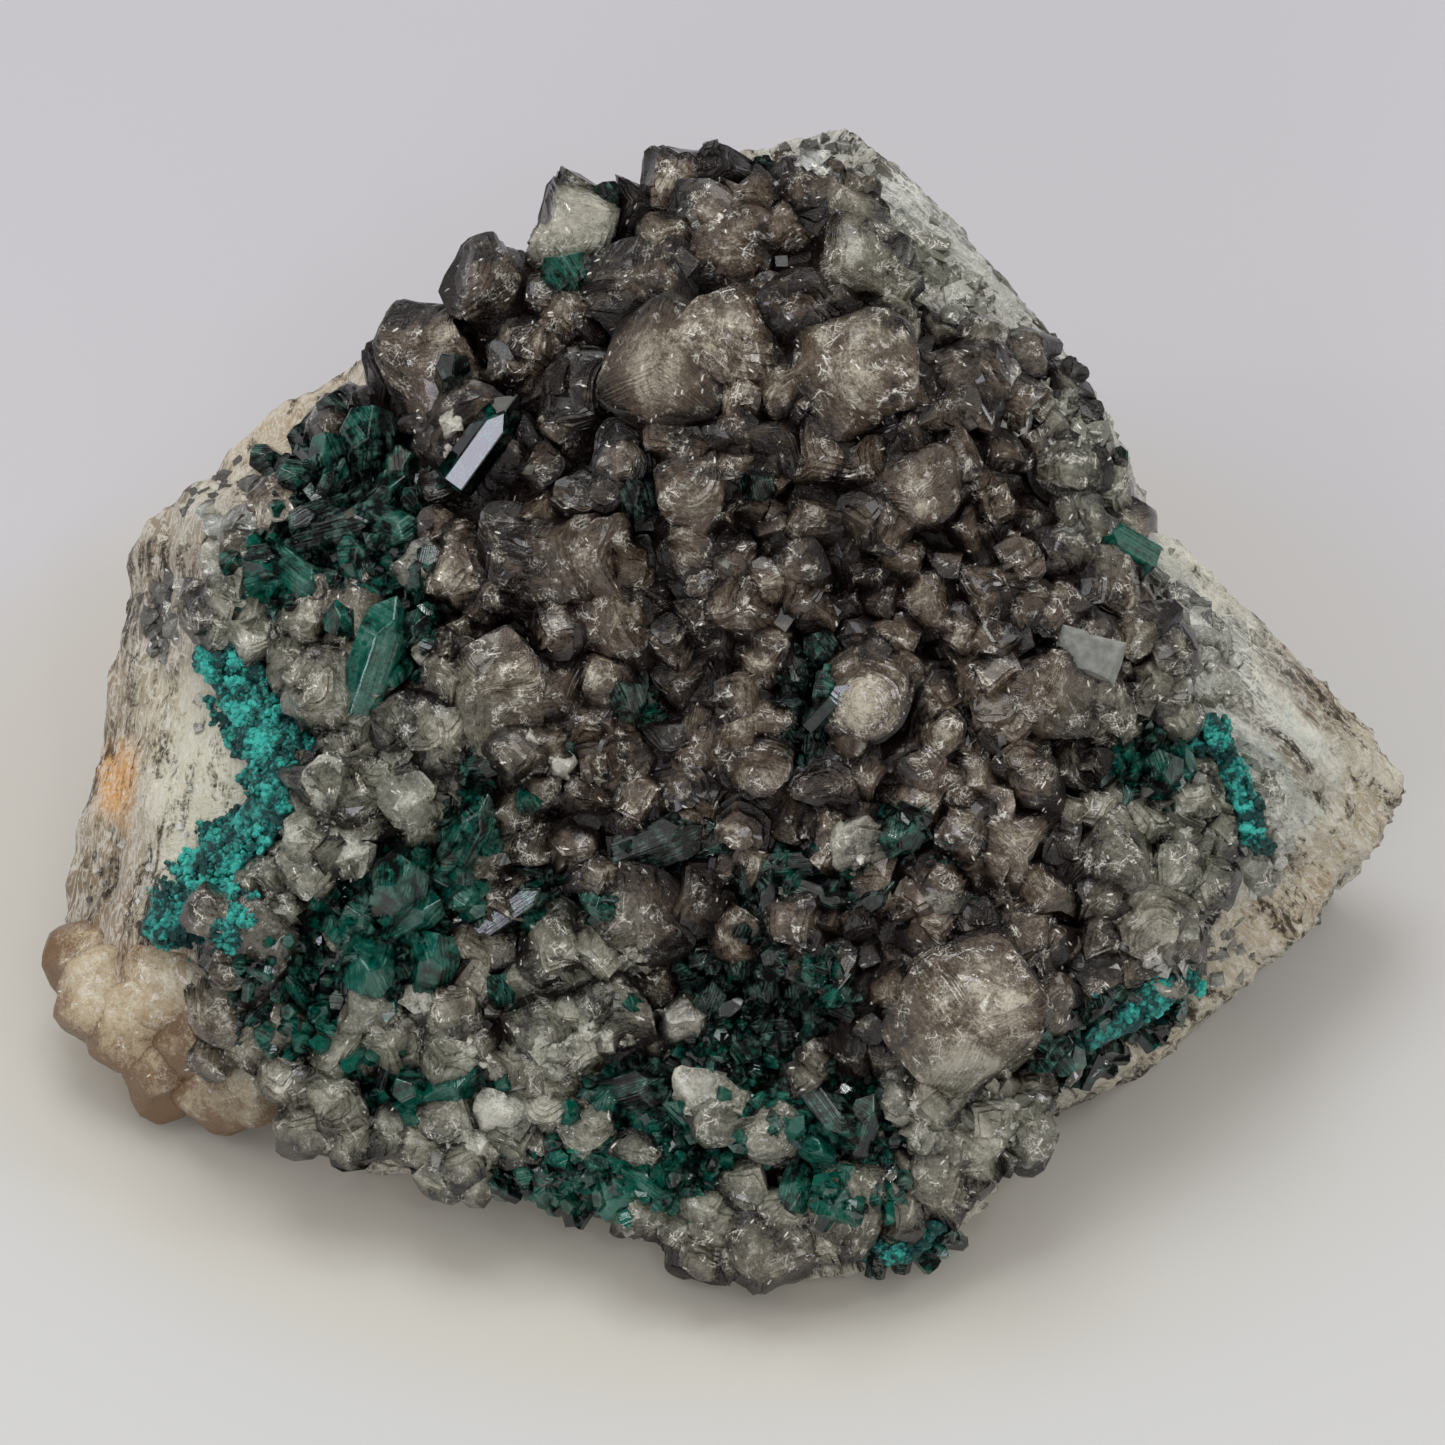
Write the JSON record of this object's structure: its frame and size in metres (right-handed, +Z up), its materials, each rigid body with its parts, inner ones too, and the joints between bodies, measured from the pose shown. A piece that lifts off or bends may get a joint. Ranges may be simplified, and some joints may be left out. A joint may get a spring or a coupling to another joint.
{
  "type": "dioptase specimen",
  "caption": "Mineral specimen: pale matrix rock with a crust of smoky calcite crystals, green dioptase prisms and turquoise crusts, resting on a flat base.",
  "frame": {"origin": "centre of the specimen's footprint box, at the level of its flat base", "axes": "+Z up, -Y towards the viewer and the crystal face, which is turned up and forward, +X to the viewer's right"},
  "size_m": [0.095, 0.0792, 0.0503],
  "materials": {
    "matrix": "rough broken carbonate rock, sparkling on its cleavage faces",
    "calcite": "smoky translucent calcite, smooth faces with pale frosted edges",
    "dioptase": "deep emerald green crystal, glassy faces",
    "turquoise": "turquoise crust of fine crystals, satin"
  },
  "bodies": {
    "root": {"matrix_rock": "matrix", "calcite_crust": "calcite", "dioptase_back_left": "dioptase", "dioptase_bead": "dioptase", "dioptase_centre_low": "dioptase", "dioptase_centre_low_2": "dioptase", "dioptase_centre_low_3": "dioptase", "dioptase_centre_right": "dioptase", "dioptase_centre_row": "dioptase", "dioptase_crest": "dioptase", "dioptase_dark_pocket": "dioptase", "dioptase_fan": "dioptase", "dioptase_foot": "dioptase", "dioptase_hero": "dioptase", "dioptase_hollow": "dioptase", "dioptase_left_edge": "dioptase", "dioptase_left_pocket": "dioptase", "dioptase_low_row": "dioptase", "dioptase_low_shelf": "dioptase", "dioptase_lower_left": "dioptase", "dioptase_lower_left_2": "dioptase", "dioptase_lower_left_tip": "dioptase", "dioptase_lying": "dioptase", "dioptase_middle_left": "dioptase", "dioptase_niche": "dioptase", "dioptase_on_calcite": "dioptase", "dioptase_peak": "dioptase", "dioptase_ridge": "dioptase", "dioptase_right_edge": "dioptase", "dioptase_right_low": "dioptase", "dioptase_right_pocket": "dioptase", "dioptase_shelf": "dioptase", "dioptase_spear": "dioptase", "dioptase_upper_left": "dioptase", "dioptase_upper_left_2": "dioptase", "dioptase_upper_left_3": "dioptase", "dioptase_upper_left_4": "dioptase", "dioptase_upper_left_5": "dioptase", "turquoise_band": "turquoise", "turquoise_foot": "turquoise", "turquoise_low_edge": "turquoise", "turquoise_streak": "turquoise"}
  },
  "joints": []
}
